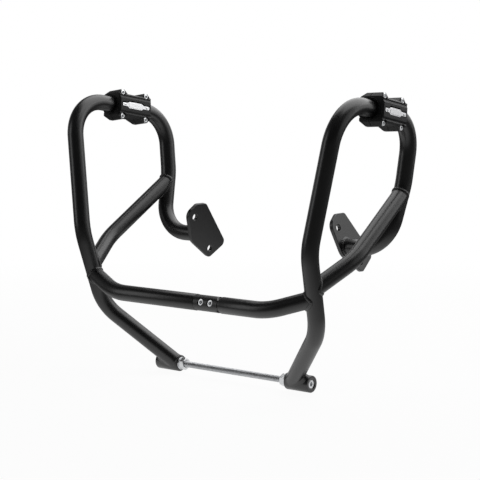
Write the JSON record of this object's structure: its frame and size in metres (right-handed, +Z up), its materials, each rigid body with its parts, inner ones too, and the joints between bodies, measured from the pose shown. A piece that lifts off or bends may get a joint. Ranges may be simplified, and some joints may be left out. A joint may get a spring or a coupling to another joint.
{
  "type": "motorcycle crash bars",
  "caption": "Pair of black tube hoops with braces, a bolted cross tube, welded rear plates, an engine rod and clamp-on crash sliders.",
  "frame": {"origin": "middle of the threaded rod, on the motorcycle's middle plane", "axes": "+X to the rider's left along the rod, -Y to the front of the motorcycle, +Z up"},
  "size_m": [0.5514, 0.2741, 0.45],
  "materials": {
    "frame_black": "satin black powder coat on steel tube",
    "weld_black": "powder coat over rippled weld beads",
    "joint_black": "satin black powder coat on solid steel lugs",
    "slider_black": "moulded black nylon with a fine matt grain",
    "liner_rubber": "black rubber",
    "zinc_bright": "bright zinc plate",
    "rod_zinc": "zinc plated rolled thread",
    "plate_silver": "satin silver"
  },
  "bodies": {
    "root": {"left_main_tube": "frame_black", "right_main_tube": "frame_black", "left_brace_tube": "frame_black", "right_brace_tube": "frame_black", "left_cross_tube": "frame_black", "right_cross_tube": "frame_black", "left_lower_boss": "frame_black", "right_lower_boss": "frame_black", "left_rear_plate": "frame_black", "right_rear_plate": "frame_black", "left_weld_beads": "weld_black", "right_weld_beads": "weld_black", "joint_front_lug": "joint_black", "joint_rear_lug": "joint_black", "joint_bolts": "zinc_bright", "threaded_rod": "rod_zinc", "left_hex_nut": "zinc_bright", "right_hex_nut": "zinc_bright", "left_washer": "zinc_bright", "right_washer": "zinc_bright", "left_barrel_nut": "zinc_bright", "right_barrel_nut": "zinc_bright", "left_slider_front": "slider_black", "right_slider_front": "slider_black", "left_slider_back": "slider_black", "right_slider_back": "slider_black", "left_slider_liner": "liner_rubber", "right_slider_liner": "liner_rubber", "left_slider_screws": "zinc_bright", "right_slider_screws": "zinc_bright", "left_nameplate": "plate_silver", "right_nameplate": "plate_silver", "left_nameplate_screws": "zinc_bright", "right_nameplate_screws": "zinc_bright"}
  },
  "joints": []
}
